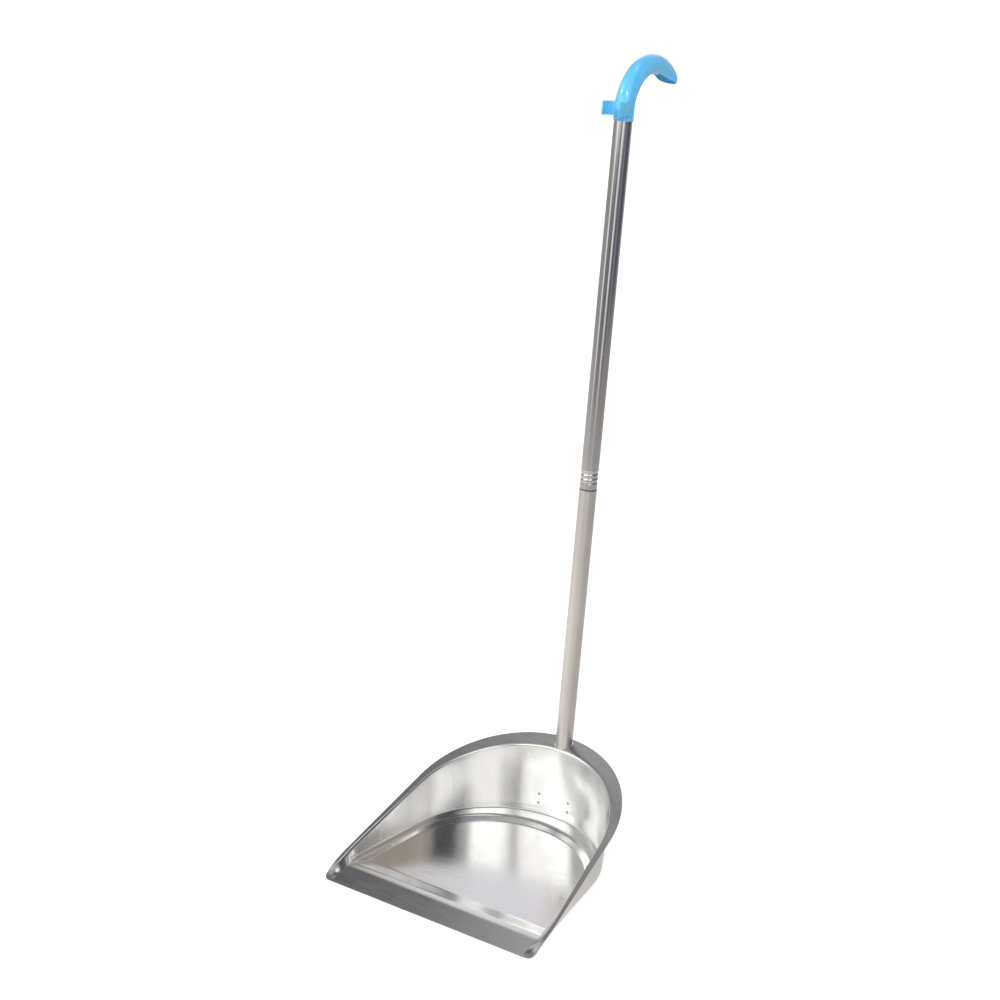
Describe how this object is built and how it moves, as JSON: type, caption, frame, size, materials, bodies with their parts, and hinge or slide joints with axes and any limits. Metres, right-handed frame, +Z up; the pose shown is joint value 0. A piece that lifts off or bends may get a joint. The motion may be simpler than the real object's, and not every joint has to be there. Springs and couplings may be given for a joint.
{
  "type": "upright dustpan",
  "caption": "Pressed stainless dustpan with a ramp lip, recessed floor and flanged rim, on an upright two-piece tube handle with a hanging hook and broom clip.",
  "frame": {"origin": "middle of the flat underside of the pan's floor, which it rests on", "axes": "+Z up, -Y towards the lip, +X to the right seen from the lip"},
  "size_m": [0.2642, 0.4265, 0.8347],
  "materials": {
    "pan_steel": "satin pressed stainless sheet with soft blurred reflections",
    "strap_steel": "plain stainless strip",
    "weld_steel": "dull spot weld marks",
    "lower_tube_steel": "satin thin-wall stainless tube",
    "spigot_plastic": "dark moulded plastic",
    "upper_tube_steel": "bright polished thin-wall stainless tube",
    "cap_plastic": "glossy light blue moulded plastic"
  },
  "bodies": {
    "base": {"pan": "pan_steel", "handle_strap": "strap_steel", "spot_welds": "weld_steel", "lower_tube": "lower_tube_steel", "thread_spigot": "spigot_plastic"},
    "cap": {"hook_cap": "cap_plastic"},
    "upper_handle": {"upper_tube": "upper_tube_steel"}
  },
  "joints": [
    {"name": "unscrew_rise", "type": "slide", "parent": "base", "child": "cap", "axis": [0, 0.0785, 0.9969], "range_m": [0, 0.0125]},
    {"name": "unscrew_turn", "type": "hinge", "parent": "cap", "child": "upper_handle", "pos_m": [0, 0.14993, 0.38461], "axis": [0, 0.0785, 0.9969], "range_deg": [0, 900]}
  ],
  "couplings": [
    {"joint": "unscrew_rise", "follows": "unscrew_turn", "m_per_rad": 0.00079577}
  ]
}
